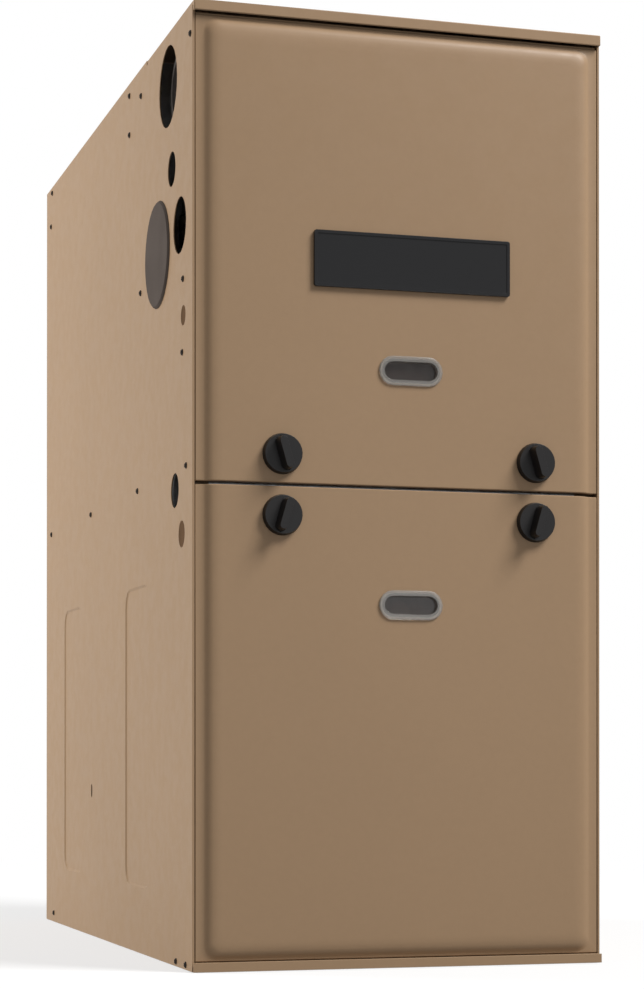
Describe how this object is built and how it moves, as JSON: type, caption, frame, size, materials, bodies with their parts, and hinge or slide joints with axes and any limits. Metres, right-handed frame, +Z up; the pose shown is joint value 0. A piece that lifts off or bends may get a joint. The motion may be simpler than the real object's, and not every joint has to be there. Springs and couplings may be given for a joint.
{
  "type": "furnace",
  "caption": "Upright two-door sheet-metal gas furnace cabinet with side vent and pipe holes, burners, tubular heat exchanger and scroll blower inside.",
  "frame": {"origin": "centre of the cabinet's base on the floor", "axes": "+Z up, -Y towards the doors, +X to the right seen from the doors"},
  "size_m": [0.3826, 0.7593, 0.838],
  "materials": {
    "aluminised": "satin",
    "badge_black": "satin",
    "black_plastic": "satin",
    "black_steel": "satin",
    "board_green": "satin",
    "cabinet_paint": "satin",
    "cast_grey": "satin",
    "ceramic": "matte",
    "clear_plastic": "gloss",
    "galvanised": "satin",
    "grey_plastic": "satin",
    "insulation": "matte",
    "red_plastic": "satin",
    "rubber": "matte",
    "stainless": "satin",
    "vent_grey": "satin",
    "white_plastic": "satin"
  },
  "bodies": {
    "cabinet": {"back_panel": "cabinet_paint", "base_pan": "galvanised", "blower_deck": "galvanised", "blower_housing": "galvanised", "blower_motor": "black_steel", "bottom_closure_panel": "galvanised", "bottom_rail": "cabinet_paint", "burner_1": "aluminised", "burner_2": "aluminised", "burner_3": "aluminised", "burner_box": "aluminised", "condensate_header": "black_plastic", "condensate_trap": "black_plastic", "control_board": "board_green", "control_bracket": "galvanised", "door_switch": "black_plastic", "flame_sensor": "ceramic", "gas_manifold": "black_steel", "gas_valve": "cast_grey", "heat_exchanger_tube_1": "aluminised", "heat_exchanger_tube_2": "aluminised", "heat_exchanger_tube_3": "aluminised", "igniter": "ceramic", "inducer_housing": "black_plastic", "inducer_motor": "black_steel", "junction_box": "galvanised", "left_side_panel": "cabinet_paint", "left_vent_plug": "grey_plastic", "limit_switch": "black_plastic", "mid_rail": "galvanised", "motor_mount": "galvanised", "pressure_hose": "rubber", "pressure_switch": "grey_plastic", "rear_header": "aluminised", "right_side_panel": "cabinet_paint", "right_vent_plug": "grey_plastic", "rollout_switch": "black_plastic", "run_capacitor": "cast_grey", "secondary_coil": "stainless", "top_front_plate": "cabinet_paint", "transformer": "black_steel", "vent_pipe": "vent_grey", "vestibule_panel": "galvanised"},
    "upper_door": {"upper_door": "cabinet_paint", "badge_plate": "badge_black", "upper_sight_window": "clear_plastic", "upper_door_insulation": "insulation"},
    "lower_door": {"lower_door": "cabinet_paint", "lower_sight_window": "clear_plastic", "lower_door_insulation": "insulation"},
    "upper_left_knob": {"upper_left_knob": "black_plastic"},
    "upper_right_knob": {"upper_right_knob": "black_plastic"},
    "lower_left_knob": {"lower_left_knob": "black_plastic"},
    "lower_right_knob": {"lower_right_knob": "black_plastic"},
    "blower_wheel": {"blower_wheel": "galvanised"},
    "inducer_wheel": {"inducer_wheel": "galvanised"},
    "door_switch_plunger": {"door_switch_plunger": "white_plastic"},
    "gas_valve_knob": {"gas_valve_knob": "red_plastic"},
    "rollout_reset_button": {"rollout_reset_button": "red_plastic"}
  },
  "joints": [
    {"name": "upper_door_lift_off", "type": "slide", "parent": "cabinet", "child": "upper_door", "axis": [0, -1, 0], "range_m": [0, 0.25]},
    {"name": "lower_door_lift_off", "type": "slide", "parent": "cabinet", "child": "lower_door", "axis": [0, -1, 0], "range_m": [0, 0.25]},
    {"name": "upper_left_knob_turn", "type": "hinge", "parent": "upper_door", "child": "upper_left_knob", "pos_m": [-0.11, -0.3738, 0.4486], "axis": [0, -1, 0], "range_deg": [0, 90]},
    {"name": "upper_right_knob_turn", "type": "hinge", "parent": "upper_door", "child": "upper_right_knob", "pos_m": [0.125, -0.3738, 0.4486], "axis": [0, -1, 0], "range_deg": [0, 90]},
    {"name": "lower_left_knob_turn", "type": "hinge", "parent": "lower_door", "child": "lower_left_knob", "pos_m": [-0.11, -0.3738, 0.3954], "axis": [0, -1, 0], "range_deg": [0, 90]},
    {"name": "lower_right_knob_turn", "type": "hinge", "parent": "lower_door", "child": "lower_right_knob", "pos_m": [0.125, -0.3738, 0.3954], "axis": [0, -1, 0], "range_deg": [0, 90]},
    {"name": "blower_spin", "type": "hinge", "parent": "cabinet", "child": "blower_wheel", "pos_m": [0, 0.045, 0.205], "axis": [1, 0, 0], "continuous": true},
    {"name": "inducer_spin", "type": "hinge", "parent": "cabinet", "child": "inducer_wheel", "pos_m": [-0.07, -0.2551, 0.572], "axis": [0, -1, 0], "continuous": true},
    {"name": "door_switch_plunger_travel", "type": "slide", "parent": "cabinet", "child": "door_switch_plunger", "axis": [0, -1, 0], "range_m": [0, 0.003]},
    {"name": "gas_valve_knob_turn", "type": "hinge", "parent": "cabinet", "child": "gas_valve_knob", "pos_m": [0.149, -0.3413, 0.665], "axis": [0, -1, 0], "range_deg": [-90, 0]},
    {"name": "rollout_reset_press", "type": "slide", "parent": "cabinet", "child": "rollout_reset_button", "axis": [0, 0, -1], "range_m": [0, 0.0015], "stiffness_N_per_m": 300}
  ],
  "couplings": [
    {"joint": "door_switch_plunger_travel", "follows": "lower_door_lift_off", "ratio": 0.012}
  ]
}
